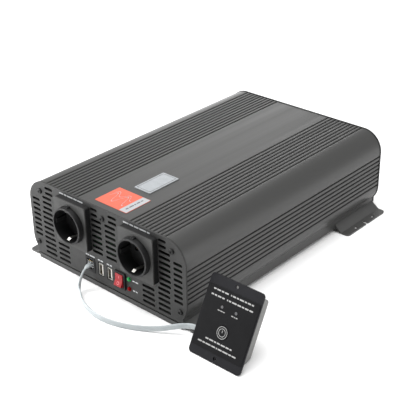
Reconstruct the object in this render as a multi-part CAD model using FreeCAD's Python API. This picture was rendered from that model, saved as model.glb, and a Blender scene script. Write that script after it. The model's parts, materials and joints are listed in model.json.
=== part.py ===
"""Power inverter with two earthed sockets, two USB ports and a wired remote switch.

Millimetres, +Z up. The origin is on the floor at the centre of the four feet.
X runs across the inverter, -Y is the socket end, +Y is the battery end.
"""
import FreeCAD
import Part
import math
import os

V = FreeCAD.Vector

# Case
CASE_LENGTH = 355.0
HALF_LENGTH = CASE_LENGTH / 2
HALF_WIDTH = 121.0
CASE_TOP = 104.0
CORNER_R = 26.0
CORNER_X = HALF_WIDTH - CORNER_R
CORNER_Z = CASE_TOP - CORNER_R
TURN_IN_Z = 31.0
TURN_IN_ANGLE = math.radians(38)
LEG_X = CORNER_X + CORNER_R * math.cos(TURN_IN_ANGLE)
WALL = 3.5
BASE_BOTTOM = 3.0
BASE_TOP = 6.0
LEG_FLANGE_X = 103.0
LEG_FLANGE_TOP = 9.0
TOP_GROOVES = 10
TOP_GROOVE_OUTER_X = 91.6
TOP_GROOVE_PITCH = 5.57
SIDE_GROOVES = 8
SIDE_GROOVE_TOP_Z = 73.1
SIDE_GROOVE_PITCH = 5.6
GROOVE_HALF = 0.85
GROOVE_ROUND = 0.9
GROOVE_DEPTH = 1.9

# End panels
PANEL_T = 2.0
PANEL_OVERHANG = 0.5
PANEL_Y = HALF_LENGTH + PANEL_T
PANEL_BOTTOM = BASE_TOP + 2.0
LIP_BOTTOM = 0.8
LIP_T = 2.0
PORT_SCREWS = [(-102.5, 91.5), (102.5, 91.5), (0.0, 92.5), (-112.5, 22.0), (112.5, 22.0)]
BOSS_R = 3.6
BOSS_HOLE_R = 1.6
SLOT_ROW_TOP = 98.6
SLOT_ROW_PITCH = 6.55
SLOT_HEIGHT = 3.4
FRONT_SLOT_COLUMNS = [
    (-117.0, -104.5, 4, 11), (-93.4, -80.5, 1, 2), (-99.0, -83.5, 3, 5), (-100.5, -83.5, 6, 10),
    (-101.0, -82.0, 11, 14), (-77.6, -58.5, 11, 14), (-18.9, -7.6, 1, 2), (-18.9, -2.2, 3, 9),
    (9.0, 22.0, 1, 2), (3.0, 19.5, 3, 9), (57.2, 75.5, 11, 14), (83.0, 94.5, 1, 2),
    (83.0, 100.0, 3, 9), (80.8, 98.6, 10, 14), (104.0, 116.5, 4, 11)]
REAR_SLOT_COLUMNS = [
    (-74.0, -14.0, 1, 1), (14.0, 74.0, 1, 1), (-116.0, -90.0, 12, 12), (90.0, 116.0, 12, 12)]

# Feet
FOOT_LENGTH = 82.0
FOOT_CENTRE_Y = 135.5
FOOT_EDGE_X = 136.0
FOOT_BEND_X = 125.8
FOOT_TOP_Z = 9.5
FOOT_SHEET = 2.0
FOOT_HOLE_X = 131.4
FOOT_HOLE_OFFSET = 18.5
FOOT_HOLE_R = 2.4
FOOT_SLOT_WIDTH = 4.0
FOOT_SCREW_X = 108.5
FOOT_SCREW_OFFSET = 30.0
FOOT_CORNER_R = 4.5

# Top label and display
LABEL = (-21.7, -168.8, 27.0, -131.4)
WINDOW = (-9.3, -120.8, 15.0, -74.0)
WINDOW_BORDER = 2.5

# Sockets
SOCKET_X = {"left": -44.2, "right": 57.5}
SOCKET_Z = 72.3
SOCKET_HALF_W = 25.0
SOCKET_HALF_H = 27.4
SOCKET_BASE_T = 6.4
SOCKET_COVER_T = 1.6
SOCKET_RIM_Y = -194.0
COLLAR_R = 21.8
RECESS_R = 19.8
RECESS_FLOOR_Y = -176.5
BARREL_R = 21.5
BARREL_END_Y = -152.0
PIN_SPACING = 19.0
PIN_HOLE_R = 2.6
SLEEVE_R = 3.5
EARTH_CLIP_W = 3.8
EARTH_CLIP_T = 0.8

# Small front parts
REMOTE_PORT_X = -24.2
REMOTE_PORT_Z = 25.6
RJ_PLUG_W = 11.7
RJ_PLUG_H = 8.2
RJ_PLUG_LENGTH = 16.5
USB_X = (-7.3, 6.7)
USB_Z = 25.3
USB_W = 6.9
USB_H = 14.3
USB_WALL = 0.7
USB_DEPTH = 14.0
ROCKER_X = 24.1
ROCKER_Z = 25.3
ROCKER_FRAME_W = 16.4
ROCKER_FRAME_H = 21.0
ROCKER_W = 10.8
ROCKER_ROOM_HALF_H = 8.15
ROCKER_FACE = 7.0
ROCKER_CROWN = 4.9
ROCKER_PIVOT_DEPTH = 1.5
ROCKER_TILT = 12.0
LED_X = 37.4
LED_Z = {"led_green": 31.3, "led_red": 19.0}
LED_R = 2.5

# Inside
BOARD_T = 1.6
BOARD_Z = 16.0
BOARD_TOP = BOARD_Z + BOARD_T
BOARD_HALF_W = 104.0
BOARD_HALF_L = 148.0
STANDOFF_X = (-96.0, 96.0)
STANDOFF_Y = (-140.0, -46.0, 46.0, 140.0)
TRANSFORMER_X = (-56.0, 0.0, 56.0)
TRANSFORMER_Y = 84.0
CAPACITOR_R = 9.0
CAPACITOR_H = 36.0
CAPACITOR_Y = 124.0
HEATSINK_HALF_L = 118.0
HEATSINK_X = 96.0
CHOKE_X = -48.0
CHOKE_Y = -84.0

# Fans
FAN_X = {"left": -44.0, "right": 44.0}
FAN_Z = 55.0
FAN_SIZE = 80.0
FAN_DEPTH = 25.0
FAN_BORE_R = 38.0
FAN_BLADE_R = 36.6
FAN_HUB_R = 17.0
FAN_HOLE_OFFSET = 35.75
FAN_BLADES = 7
FAN_BLADE_CHORD = 23.0
FAN_BLADE_PITCH = 52.0
FAN_FRONT_Y = HALF_LENGTH - 5.0
FAN_SHAFT_R = 1.5
FAN_BEARING_R = 1.55

# Battery terminals
TERMINAL_X = 101.0
TERMINAL_Z = 56.0
TERMINAL_R = 13.0
TERMINAL_OUT = 10.0
BUS_BAR_Y = HALF_LENGTH - 9.0
STUD_R = 4.0
STUD_TIP_R = 3.8
STUD_TIP_Y = 197.6
STUD_END_Y = 207.0

# Remote switch
REMOTE_W = 67.2
REMOTE_H = 85.4
REMOTE_PLATE_T = 2.0
REMOTE_BOX_SIDE = 8.3
REMOTE_BOX_BOTTOM = 7.6
REMOTE_BOX_CHAMFER = 7.5
REMOTE_BOX_TOP = 76.5
REMOTE_BOX_BACK = 24.0
REMOTE_WALL = 2.0
REMOTE_YAW = 0.4
REMOTE_REST = REMOTE_BOX_BACK - REMOTE_BOX_CHAMFER - REMOTE_PLATE_T
REMOTE_LEAN = math.degrees(math.atan2(REMOTE_BOX_BOTTOM, REMOTE_REST))
REMOTE_CORNER = V(142.85, -201.9, REMOTE_PLATE_T * math.sin(math.radians(REMOTE_LEAN)))
REMOTE_PLACE = FreeCAD.Placement(REMOTE_CORNER, FreeCAD.Rotation(REMOTE_YAW, 0, -REMOTE_LEAN))
REMOTE_BUTTON = (33.6, 32.4)
REMOTE_BUTTON_R = 7.2
REMOTE_LAMPS = [(24.0, 56.0), (42.0, 56.0)]
REMOTE_HOLES = [(33.6, 4.6), (33.6, 80.8)]
REMOTE_JACK_V = 22.0
REMOTE_JACK_D = 13.0
REMOTE_LEAD_U = REMOTE_BOX_SIDE + 11.5 - RJ_PLUG_LENGTH

# Remote cable, a flat lead modelled as a plain tube of its width
CABLE_R = 3.2
CABLE_START_Y = -179.3
CABLE_ROUTE = [
    (REMOTE_PORT_X, CABLE_START_Y, REMOTE_PORT_Z), (REMOTE_PORT_X, -186.6, REMOTE_PORT_Z),
    (-25.6, -191.5, 18.5), (-26.5, -195.5, 9.0), (-23.5, -199.5, 3.6), (-13.5, -206.3, 3.3),
    (-2.0, -214.5, 3.3), (19.0, -222.0, 3.3), (41.0, -223.5, 3.3), (65.0, -217.5, 3.3),
    (87.0, -206.0, 3.6), (105.0, -194.9, 6.5), (119.5, -185.2, 11.6)]
for run_in in (12.0, 0.0):
    CABLE_ROUTE.append(tuple(REMOTE_PLACE.multVec(V(REMOTE_LEAD_U - run_in, REMOTE_JACK_D, REMOTE_JACK_V))))


def save(name, *solids):
    """Write one named piece, or a group of identical ones, to its own STEP file."""
    shape = solids[0] if len(solids) == 1 else Part.Compound(list(solids))
    shape.exportStep("parts/" + name + ".step")
    print(name, len(shape.Solids), round(shape.Volume, 1), shape.isValid())


def box(x0, y0, z0, x1, y1, z1):
    return Part.makeBox(x1 - x0, y1 - y0, z1 - z0, V(x0, y0, z0))


def rod(x, y, z, radius, length, direction=V(0, 1, 0)):
    return Part.makeCylinder(radius, length, V(x, y, z), direction)


def joined(shapes):
    """Fuse touching shapes into one clean solid."""
    body = shapes[0].fuse(shapes[1:]).removeSplitter()
    return body.Solids[0] if len(body.Solids) == 1 else body


def rounded_box(x0, y0, z0, x1, y1, z1, radius):
    """A block whose four edges along Y are rounded."""
    block = box(x0, y0, z0, x1, y1, z1)
    edges = [e for e in block.Edges if abs(e.tangentAt(e.FirstParameter).y) > 0.9]
    return block.makeFillet(radius, edges)


def upright_rounded_box(x0, y0, z0, x1, y1, z1, radius):
    """A block whose four upright edges are rounded."""
    block = box(x0, y0, z0, x1, y1, z1)
    edges = [e for e in block.Edges if abs(e.tangentAt(e.FirstParameter).z) > 0.9]
    return block.makeFillet(radius, edges)


def slot_y(x0, x1, z, height, y0, y1):
    """A slot cutter with round ends, level, running through along Y."""
    return rounded_box(x0, y0, z - height / 2, x1, y1, z + height / 2, height / 2 - 0.01)


def extrude_xz(points, y0, y1):
    """Extrude a straight-sided outline of (x, z) points along Y."""
    wire = Part.makePolygon([V(x, y0, z) for x, z in points + [points[0]]])
    return Part.Face(wire).extrude(V(0, y1 - y0, 0))


def hexagon(x, z, across_flats, y0, y1):
    corner = across_flats / math.sqrt(3)
    angles = [math.radians(30 + 60 * k) for k in range(6)]
    return extrude_xz([(x + corner * math.cos(a), z + corner * math.sin(a)) for a in angles], y0, y1)


# ---------------------------------------------------------------- case


def groove_edges(centre, along, out, start):
    """Edges of one rounded groove, from the point start to the groove's far lip."""
    depth_round = GROOVE_DEPTH - GROOVE_HALF
    lip = GROOVE_HALF + GROOVE_ROUND
    diagonal = GROOVE_ROUND * (1 - math.sqrt(0.5))

    def at(side, drop):
        return centre + along * side - out * drop

    near = at(-lip, 0)
    edges = [Part.LineSegment(start, near).toShape()]
    edges.append(Part.Arc(near, at(-GROOVE_HALF - diagonal, diagonal),
                          at(-GROOVE_HALF, GROOVE_ROUND)).toShape())
    edges.append(Part.LineSegment(at(-GROOVE_HALF, GROOVE_ROUND), at(-GROOVE_HALF, depth_round)).toShape())
    edges.append(Part.Arc(at(-GROOVE_HALF, depth_round), at(0, GROOVE_DEPTH),
                          at(GROOVE_HALF, depth_round)).toShape())
    edges.append(Part.LineSegment(at(GROOVE_HALF, depth_round), at(GROOVE_HALF, GROOVE_ROUND)).toShape())
    edges.append(Part.Arc(at(GROOVE_HALF, GROOVE_ROUND), at(GROOVE_HALF + diagonal, diagonal),
                          at(lip, 0)).toShape())
    return edges, at(lip, 0)


def corner_arc(centre_x, centre_z, radius, first, last, y):
    """An arc in the XZ plane between two angles in radians."""
    def point(angle):
        return V(centre_x + radius * math.cos(angle), y, centre_z + radius * math.sin(angle))
    return Part.Arc(point(first), point((first + last) / 2), point(last)).toShape()


def outline_edges(grow, y, grooved, bottom):
    """Outer edges of the case outline from the right leg, over the top, to the left leg."""
    radius = CORNER_R + grow
    side = HALF_WIDTH + grow
    top = CASE_TOP + grow
    leg = CORNER_X + radius * math.cos(TURN_IN_ANGLE)
    leg_top = TURN_IN_Z - radius * math.sin(TURN_IN_ANGLE)
    edges = [Part.LineSegment(V(leg, y, bottom), V(leg, y, leg_top)).toShape()]
    edges.append(corner_arc(CORNER_X, TURN_IN_Z, radius, -TURN_IN_ANGLE, 0, y))
    here = V(side, y, TURN_IN_Z)
    if grooved:
        for k in reversed(range(SIDE_GROOVES)):
            centre = V(side, y, SIDE_GROOVE_TOP_Z - k * SIDE_GROOVE_PITCH)
            more, here = groove_edges(centre, V(0, 0, 1), V(1, 0, 0), here)
            edges += more
    edges.append(Part.LineSegment(here, V(side, y, CORNER_Z)).toShape())
    edges.append(corner_arc(CORNER_X, CORNER_Z, radius, 0, math.pi / 2, y))
    here = V(CORNER_X, y, top)
    if grooved:
        right = [TOP_GROOVE_OUTER_X - k * TOP_GROOVE_PITCH for k in range(TOP_GROOVES)]
        for x in right + [-x for x in reversed(right)]:
            more, here = groove_edges(V(x, y, top), V(-1, 0, 0), V(0, 0, 1), here)
            edges += more
    edges.append(Part.LineSegment(here, V(-CORNER_X, y, top)).toShape())
    edges.append(corner_arc(-CORNER_X, CORNER_Z, radius, math.pi / 2, math.pi, y))
    here = V(-side, y, CORNER_Z)
    if grooved:
        for k in range(SIDE_GROOVES):
            centre = V(-side, y, SIDE_GROOVE_TOP_Z - k * SIDE_GROOVE_PITCH)
            more, here = groove_edges(centre, V(0, 0, -1), V(-1, 0, 0), here)
            edges += more
    edges.append(Part.LineSegment(here, V(-side, y, TURN_IN_Z)).toShape())
    edges.append(corner_arc(-CORNER_X, TURN_IN_Z, radius, math.pi, math.pi + TURN_IN_ANGLE, y))
    edges.append(Part.LineSegment(V(-leg, y, leg_top), V(-leg, y, bottom)).toShape())
    return edges


def inner_edges(y):
    """Inner edges of the case outline, back from the left leg to the right leg."""
    radius = CORNER_R - WALL
    side = HALF_WIDTH - WALL
    top = CASE_TOP - WALL
    leg = CORNER_X + radius * math.cos(TURN_IN_ANGLE)
    leg_top = TURN_IN_Z - radius * math.sin(TURN_IN_ANGLE)
    left_leg = [(-LEG_X, BASE_TOP), (-LEG_FLANGE_X, BASE_TOP), (-LEG_FLANGE_X, LEG_FLANGE_TOP),
                (-leg, LEG_FLANGE_TOP), (-leg, leg_top)]
    edges = [Part.LineSegment(V(a[0], y, a[1]), V(b[0], y, b[1])).toShape()
             for a, b in zip(left_leg, left_leg[1:])]
    edges.append(corner_arc(-CORNER_X, TURN_IN_Z, radius, math.pi + TURN_IN_ANGLE, math.pi, y))
    edges.append(Part.LineSegment(V(-side, y, TURN_IN_Z), V(-side, y, CORNER_Z)).toShape())
    edges.append(corner_arc(-CORNER_X, CORNER_Z, radius, math.pi, math.pi / 2, y))
    edges.append(Part.LineSegment(V(-CORNER_X, y, top), V(CORNER_X, y, top)).toShape())
    edges.append(corner_arc(CORNER_X, CORNER_Z, radius, math.pi / 2, 0, y))
    edges.append(Part.LineSegment(V(side, y, CORNER_Z), V(side, y, TURN_IN_Z)).toShape())
    edges.append(corner_arc(CORNER_X, TURN_IN_Z, radius, 0, -TURN_IN_ANGLE, y))
    edges += [Part.LineSegment(V(-b[0], y, b[1]), V(-a[0], y, a[1])).toShape()
              for a, b in reversed(list(zip(left_leg, left_leg[1:])))]
    return edges


def case_shell():
    """The extruded, ribbed cover: top, sides and turned-in legs, with screw bosses."""
    y = -HALF_LENGTH
    edges = outline_edges(0, y, True, BASE_TOP) + inner_edges(y)
    shell = Part.Face(Part.Wire(edges)).extrude(V(0, CASE_LENGTH, 0))
    additions = [rod(x, y, z, BOSS_R, CASE_LENGTH) for x, z in PORT_SCREWS]
    inside_top = CASE_TOP - WALL / 2
    additions.append(box(-1.2, y, 92.5, 1.2, -y, inside_top))
    for side in (-1, 1):
        x0, x1 = sorted((side * 101.3, side * 103.7))
        additions.append(box(x0, y, 91.5, x1, -y, 100.2))
    shell = joined([shell] + additions)
    cuts = [rod(x, y - 1, z, BOSS_HOLE_R, CASE_LENGTH + 2) for x, z in PORT_SCREWS]
    x0, y0, x1, y1 = WINDOW
    edge = WINDOW_BORDER
    cuts.append(box(x0 + edge, y0 + edge, 96.4, x1 - edge, y1 - edge, CASE_TOP + 1))
    cuts.append(box(x0 - 4, y0 - 4, 88.0, x1 + 4, y1 + 4, CASE_TOP - WALL))
    for cx, cy in foot_screw_places():
        cuts.append(rod(cx, cy, BASE_TOP - 1, 1.6, 5, V(0, 0, 1)))
    return shell.cut(cuts)


def base_plate():
    """The floor sheet: a lip turned down at each end, holes for foot screws and board pillars."""
    plate = box(-LEG_X, -PANEL_Y, BASE_BOTTOM, LEG_X, PANEL_Y, BASE_TOP)
    long_edges = [e for e in plate.Edges if abs(e.CenterOfMass.z - BASE_BOTTOM) < 0.01]
    plate = plate.makeFillet(1.2, long_edges)
    half = LEG_X - 1.5
    lips = [box(-half, y, LIP_BOTTOM, half, y + LIP_T, BASE_TOP - 1) for y in (-PANEL_Y, PANEL_Y - LIP_T)]
    cuts = [rod(x, y, 0, 2.1, 10, V(0, 0, 1)) for x, y in foot_screw_places()]
    cuts += [rod(x, y, 0, 1.6, 10, V(0, 0, 1)) for x in STANDOFF_X for y in STANDOFF_Y]
    return joined([plate] + lips).cut(cuts)


def panel_sheet(y):
    """A blank end panel, slightly larger than the case outline."""
    leg = CORNER_X + (CORNER_R + PANEL_OVERHANG) * math.cos(TURN_IN_ANGLE)
    edges = outline_edges(PANEL_OVERHANG, y, False, PANEL_BOTTOM)
    edges.append(Part.LineSegment(V(-leg, y, PANEL_BOTTOM), V(leg, y, PANEL_BOTTOM)).toShape())
    return Part.Face(Part.Wire(edges)).extrude(V(0, PANEL_T, 0))


def slot_cutters(columns, y):
    cutters = []
    for x0, x1, first, last in columns:
        for row in range(first, last + 1):
            z = SLOT_ROW_TOP - SLOT_ROW_PITCH * (row - 1)
            cutters.append(slot_y(x0, x1, z, SLOT_HEIGHT, y - 1, y + PANEL_T + 1))
    return cutters


def front_panel():
    """The socket-end sheet: vent slots and cut-outs for every fitting."""
    y = -PANEL_Y
    deep = PANEL_T + 2
    cuts = slot_cutters(FRONT_SLOT_COLUMNS, y)
    cuts += [rod(x, y - 1, z, 1.7, deep) for x, z in PORT_SCREWS]
    cuts += [rod(x, y - 1, SOCKET_Z, BARREL_R + 0.4, deep) for x in SOCKET_X.values()]
    for x in USB_X:
        cuts.append(box(x - 4.5, y - 1, USB_Z - 8.4, x + 4.5, y + deep, USB_Z + 8.4))
    cuts.append(box(REMOTE_PORT_X - 7.1, y - 1, REMOTE_PORT_Z - 8.7,
                    REMOTE_PORT_X + 7.1, y + deep, REMOTE_PORT_Z + 8.7))
    cuts.append(box(ROCKER_X - 7.4, y - 1, ROCKER_Z - 9.6, ROCKER_X + 7.4, y + deep, ROCKER_Z + 9.6))
    cuts += [rod(LED_X, y - 1, z, LED_R + 0.1, deep) for z in LED_Z.values()]
    return panel_sheet(y).cut(cuts)


def rear_panel():
    """The battery-end sheet: two fan openings and the terminal holes."""
    y = HALF_LENGTH
    deep = PANEL_T + 2
    cuts = slot_cutters(REAR_SLOT_COLUMNS, y)
    cuts += [rod(x, y - 1, z, 1.7, deep) for x, z in PORT_SCREWS]
    for x in FAN_X.values():
        cuts.append(rod(x, y - 1, FAN_Z, FAN_BORE_R, deep))
        cuts += [rod(sx, y - 1, sz, 2.2, deep) for sx, sz in fan_corners(x)]
    cuts += [rod(x, y - 1, TERMINAL_Z, 9.2, deep) for x in (-TERMINAL_X, TERMINAL_X)]
    return panel_sheet(y).cut(cuts)


def pan_screw(x, y, z, outward, length, shank_r=1.5, head_r=3.3, head_h=2.0):
    """A cross-recess pan-head screw whose head seats at y and faces outward (-1 or 1)."""
    direction = V(0, outward, 0)
    head = Part.makeCylinder(head_r, head_h, V(x, y, z), direction)
    rim = [e for e in head.Edges if abs(e.CenterOfMass.y - (y + outward * head_h)) < 0.01]
    head = head.makeFillet(head_h * 0.7, rim)
    shank = Part.makeCylinder(shank_r, length, V(x, y, z), V(0, -outward, 0))
    tip = y + outward * head_h
    y0, y1 = sorted((tip - outward * 1.1, tip + outward * 1))
    cross = [box(x - 1.7, y0, z - 0.4, x + 1.7, y1, z + 0.4),
             box(x - 0.4, y0, z - 1.7, x + 0.4, y1, z + 1.7)]
    return joined([head, shank]).cut(cross)


# ---------------------------------------------------------------- feet


def foot_screw_places():
    return [(sx * FOOT_SCREW_X, sy * FOOT_CENTRE_Y + offset)
            for sx in (-1, 1) for sy in (-1, 1) for offset in (-FOOT_SCREW_OFFSET, FOOT_SCREW_OFFSET)]


def foot(side_x, side_y):
    """A fixing foot: tab under the floor, upright web, sloping face and drilled flange."""
    web = LEG_X
    under = BASE_BOTTOM
    outline = [(web - 14, under - FOOT_SHEET), (web + 2, under - FOOT_SHEET), (web + 2, FOOT_TOP_Z - 4.2),
               (FOOT_BEND_X - 1.2, 0), (FOOT_EDGE_X, 0), (FOOT_EDGE_X, FOOT_SHEET),
               (FOOT_BEND_X, FOOT_SHEET), (web, FOOT_TOP_Z), (web, under), (web - 14, under)]
    outline = [(side_x * x, z) for x, z in outline]
    y0 = side_y * FOOT_CENTRE_Y - FOOT_LENGTH / 2
    y1 = y0 + FOOT_LENGTH
    body = extrude_xz(outline, y0, y1)
    flange_ends = [e for e in body.Edges if abs(e.tangentAt(e.FirstParameter).z) > 0.9
                   and abs(abs(e.CenterOfMass.x) - FOOT_EDGE_X) < 0.01]
    body = body.makeFillet(FOOT_CORNER_R, flange_ends)
    middle = (y0 + y1) / 2
    cuts = [rod(side_x * FOOT_HOLE_X, middle + d, -1, FOOT_HOLE_R, 5, V(0, 0, 1))
            for d in (-FOOT_HOLE_OFFSET, FOOT_HOLE_OFFSET)]
    half = FOOT_SLOT_WIDTH / 2
    x0, x1 = sorted((side_x * (FOOT_HOLE_X - 0.4), side_x * (FOOT_EDGE_X + 1)))
    cuts.append(box(x0, middle - half, -1, x1, middle + half, 4))
    cuts.append(rod(side_x * (FOOT_HOLE_X - 0.4), middle, -1, half, 5, V(0, 0, 1)))
    cuts += [rod(side_x * FOOT_SCREW_X, middle + d, 0, 2.1, 4, V(0, 0, 1))
             for d in (-FOOT_SCREW_OFFSET, FOOT_SCREW_OFFSET)]
    return body.cut(cuts)


def foot_screw(x, y):
    """A low-head screw from below, through the foot tab and the floor, into the case leg."""
    head = rod(x, y, 0.2, 3.6, BASE_BOTTOM - FOOT_SHEET - 0.2, V(0, 0, 1))
    shank = rod(x, y, 0.5, 1.5, LEG_FLANGE_TOP - 0.5, V(0, 0, 1))
    return joined([head, shank])


# ---------------------------------------------------------------- top


def top_label():
    x0, y0, x1, y1 = LABEL
    return upright_rounded_box(x0, y0, CASE_TOP, x1, y1, CASE_TOP + 0.3, 1.0)


def lcd_window():
    """The display lens: a thin plate on the cover with a plug that fills the cut-out."""
    x0, y0, x1, y1 = WINDOW
    inset = WINDOW_BORDER + 0.2
    lens = upright_rounded_box(x0, y0, CASE_TOP, x1, y1, CASE_TOP + 0.8, 1.2)
    plug = box(x0 + inset, y0 + inset, CASE_TOP - WALL, x1 - inset, y1 - inset, CASE_TOP + 0.4)
    return joined([lens, plug])


def lcd_module():
    x0, y0, x1, y1 = WINDOW
    screen = box(x0 + 1, y0 + 1, 93.0, x1 - 1, y1 - 1, 96.2)
    board = box(x0 - 3, y0 - 3, 91.4, x1 + 3, y1 + 3, 93.0)
    posts = [rod(x, y, 93.0, 2.0, CASE_TOP - WALL - 93.0, V(0, 0, 1))
             for x in (x0 - 1, x1 + 1) for y in (y0 - 1, y1 + 1)]
    return joined([screen, board] + posts)


# ---------------------------------------------------------------- sockets


def socket_outline(x, y0, y1):
    return rounded_box(x - SOCKET_HALF_W, y0, SOCKET_Z - SOCKET_HALF_H,
                       x + SOCKET_HALF_W, y1, SOCKET_Z + SOCKET_HALF_H, 2.5)


def socket_body(x):
    """Black moulding: frame on the panel, round collar and the barrel behind."""
    collar_length = -PANEL_Y - SOCKET_RIM_Y
    frame = socket_outline(x, -PANEL_Y - SOCKET_BASE_T, -PANEL_Y)
    collar = rod(x, SOCKET_RIM_Y, SOCKET_Z, COLLAR_R, collar_length)
    collar = collar.makeFillet(0.7, [e for e in collar.Edges if abs(e.CenterOfMass.y - SOCKET_RIM_Y) < 0.01
                                     and e.Closed])
    key = box(x - 2, SOCKET_RIM_Y + 2.5, SOCKET_Z + COLLAR_R - 1, x + 2, -PANEL_Y, SOCKET_Z + COLLAR_R + 1.6)
    barrel = rod(x, -PANEL_Y, SOCKET_Z, BARREL_R, BARREL_END_Y + PANEL_Y)
    body = joined([frame, collar, key, barrel])
    cuts = [rod(x, SOCKET_RIM_Y - 1, SOCKET_Z, RECESS_R, RECESS_FLOOR_Y - SOCKET_RIM_Y + 1)]
    for dx in (-PIN_SPACING / 2, PIN_SPACING / 2):
        cuts.append(rod(x + dx, RECESS_FLOOR_Y - 1, SOCKET_Z, PIN_HOLE_R, 6))
        cuts.append(rod(x + dx, RECESS_FLOOR_Y + 2.5, SOCKET_Z, SLEEVE_R + 0.05, 30))
    body = body.cut(cuts)
    ribs = []
    for sign in (-1, 1):
        x0, x1 = sorted((x + sign * (RECESS_R - 1.8), x + sign * (RECESS_R + 0.8)))
        ribs.append(box(x0, SOCKET_RIM_Y + 3, SOCKET_Z - 2.4, x1, RECESS_FLOOR_Y + 0.5, SOCKET_Z + 2.4))
    body = joined([body] + ribs)
    return body.cut([earth_slot(x, s) for s in (-1, 1)])


def earth_slot(x, sign):
    """The pocket through the recess floor that one earth clip stands in."""
    z0, z1 = sorted((SOCKET_Z + sign * 17.3, SOCKET_Z + sign * 19.2))
    half = EARTH_CLIP_W / 2 + 0.2
    return box(x - half, RECESS_FLOOR_Y - 0.5, z0, x + half, BARREL_END_Y - 6, z1)


def socket_cover(x):
    """The grey facing plate around the collar."""
    y0 = -PANEL_Y - SOCKET_BASE_T - SOCKET_COVER_T
    plate = socket_outline(x, y0, y0 + SOCKET_COVER_T)
    plate = plate.cut(rod(x, y0 - 1, SOCKET_Z, COLLAR_R + 0.3, SOCKET_COVER_T + 2))
    cuts = [box(x - 2.3, y0 - 1, SOCKET_Z + COLLAR_R - 1, x + 2.3, y0 + 4, SOCKET_Z + COLLAR_R + 1.9)]
    cuts.append(box(x - 1.5, y0 - 1, SOCKET_Z - COLLAR_R - 2.4, x + 1.5, y0 + 4, SOCKET_Z - COLLAR_R - 1.4))
    return plate.cut(cuts)


def socket_sleeve(x):
    """One live contact: a split spring sleeve with a solder tail."""
    y0 = RECESS_FLOOR_Y + 2.8
    sleeve = rod(x, y0, SOCKET_Z, SLEEVE_R, 18).cut(rod(x, y0 - 1, SOCKET_Z, 2.45, 15))
    sleeve = sleeve.cut(box(x - 0.4, y0 - 1, SOCKET_Z - 5, x + 0.4, y0 + 12, SOCKET_Z + 5))
    tail = box(x - 1.5, y0 + 17.5, SOCKET_Z - 0.5, x + 1.5, y0 + 27, SOCKET_Z + 0.5)
    return joined([sleeve, tail])


def earth_clip(x, sign):
    """One earth spring: a strip along the recess wall that bulges inward near the rim."""
    t = EARTH_CLIP_T
    inner = [(-160.0, 17.6), (RECESS_FLOOR_Y, 17.6), (-184.0, 16.0), (-189.0, 15.4), (-192.0, 17.2)]
    outer = [(y, r + t) for y, r in reversed(inner)]
    points = [V(x - EARTH_CLIP_W / 2, y, SOCKET_Z + sign * r) for y, r in inner + outer]
    face = Part.Face(Part.makePolygon(points + [points[0]]))
    return face.extrude(V(EARTH_CLIP_W, 0, 0))


# ---------------------------------------------------------------- small front parts


def usb_port(x):
    """One upright USB-A port: pressed steel shell, rear block and contact tongue."""
    y0 = -PANEL_Y + 0.4
    half_w = USB_W / 2
    half_h = USB_H / 2
    shell = box(x - half_w, y0, USB_Z - half_h, x + half_w, y0 + USB_DEPTH, USB_Z + half_h)
    inside = box(x - half_w + USB_WALL, y0 - 1, USB_Z - half_h + USB_WALL,
                 x + half_w - USB_WALL, y0 + 10, USB_Z + half_h - USB_WALL)
    tongue = box(x + 0.8, y0 + 0.6, USB_Z - 5.5, x + 2.4, y0 + 10.5, USB_Z + 5.5)
    return joined([shell.cut(inside), tongue])


def remote_port():
    """The remote lead's socket: black housing with a thin flange, and a room above the plug."""
    x = REMOTE_PORT_X
    z = REMOTE_PORT_Z
    flange = rounded_box(x - 7.6, -PANEL_Y - 0.6, z - 9.2, x + 7.6, -PANEL_Y, z + 9.2, 0.8)
    housing = box(x - 6.9, -PANEL_Y - 0.3, z - 8.4, x + 6.9, -PANEL_Y + 18, z + 8.4)
    half_w = RJ_PLUG_W / 2 + 0.1
    half_h = RJ_PLUG_H / 2 + 0.1
    inside = box(x - half_w, -PANEL_Y - 3, z - half_h, x + half_w, -PANEL_Y + 17.1, z + half_h)
    latch = box(x - 3.2, -PANEL_Y - 3, z - half_h - 1.6, x + 3.2, -PANEL_Y + 12.5, z)
    contact_room = box(x - 5.2, -PANEL_Y - 3, z, x + 5.2, -PANEL_Y + 6, z + 7.3)
    return joined([flange, housing]).cut([inside, latch, contact_room])


def rj_plug():
    """A clear modular plug along +Y, lead end at y = 0, nose at y = its length."""
    length = RJ_PLUG_LENGTH
    body = box(-RJ_PLUG_W / 2, 0, -RJ_PLUG_H / 2, RJ_PLUG_W / 2, length, RJ_PLUG_H / 2)
    latch = box(-2.9, 3, -RJ_PLUG_H / 2 - 1.2, 2.9, length - 6, -RJ_PLUG_H / 2 + 0.4)
    ribs = [box(-4.4 + 1.26 * k, length - 5, RJ_PLUG_H / 2 - 0.8, -3.9 + 1.26 * k, length + 1, RJ_PLUG_H)
            for k in range(8)]
    return joined([body, latch]).cut(ribs)


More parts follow.
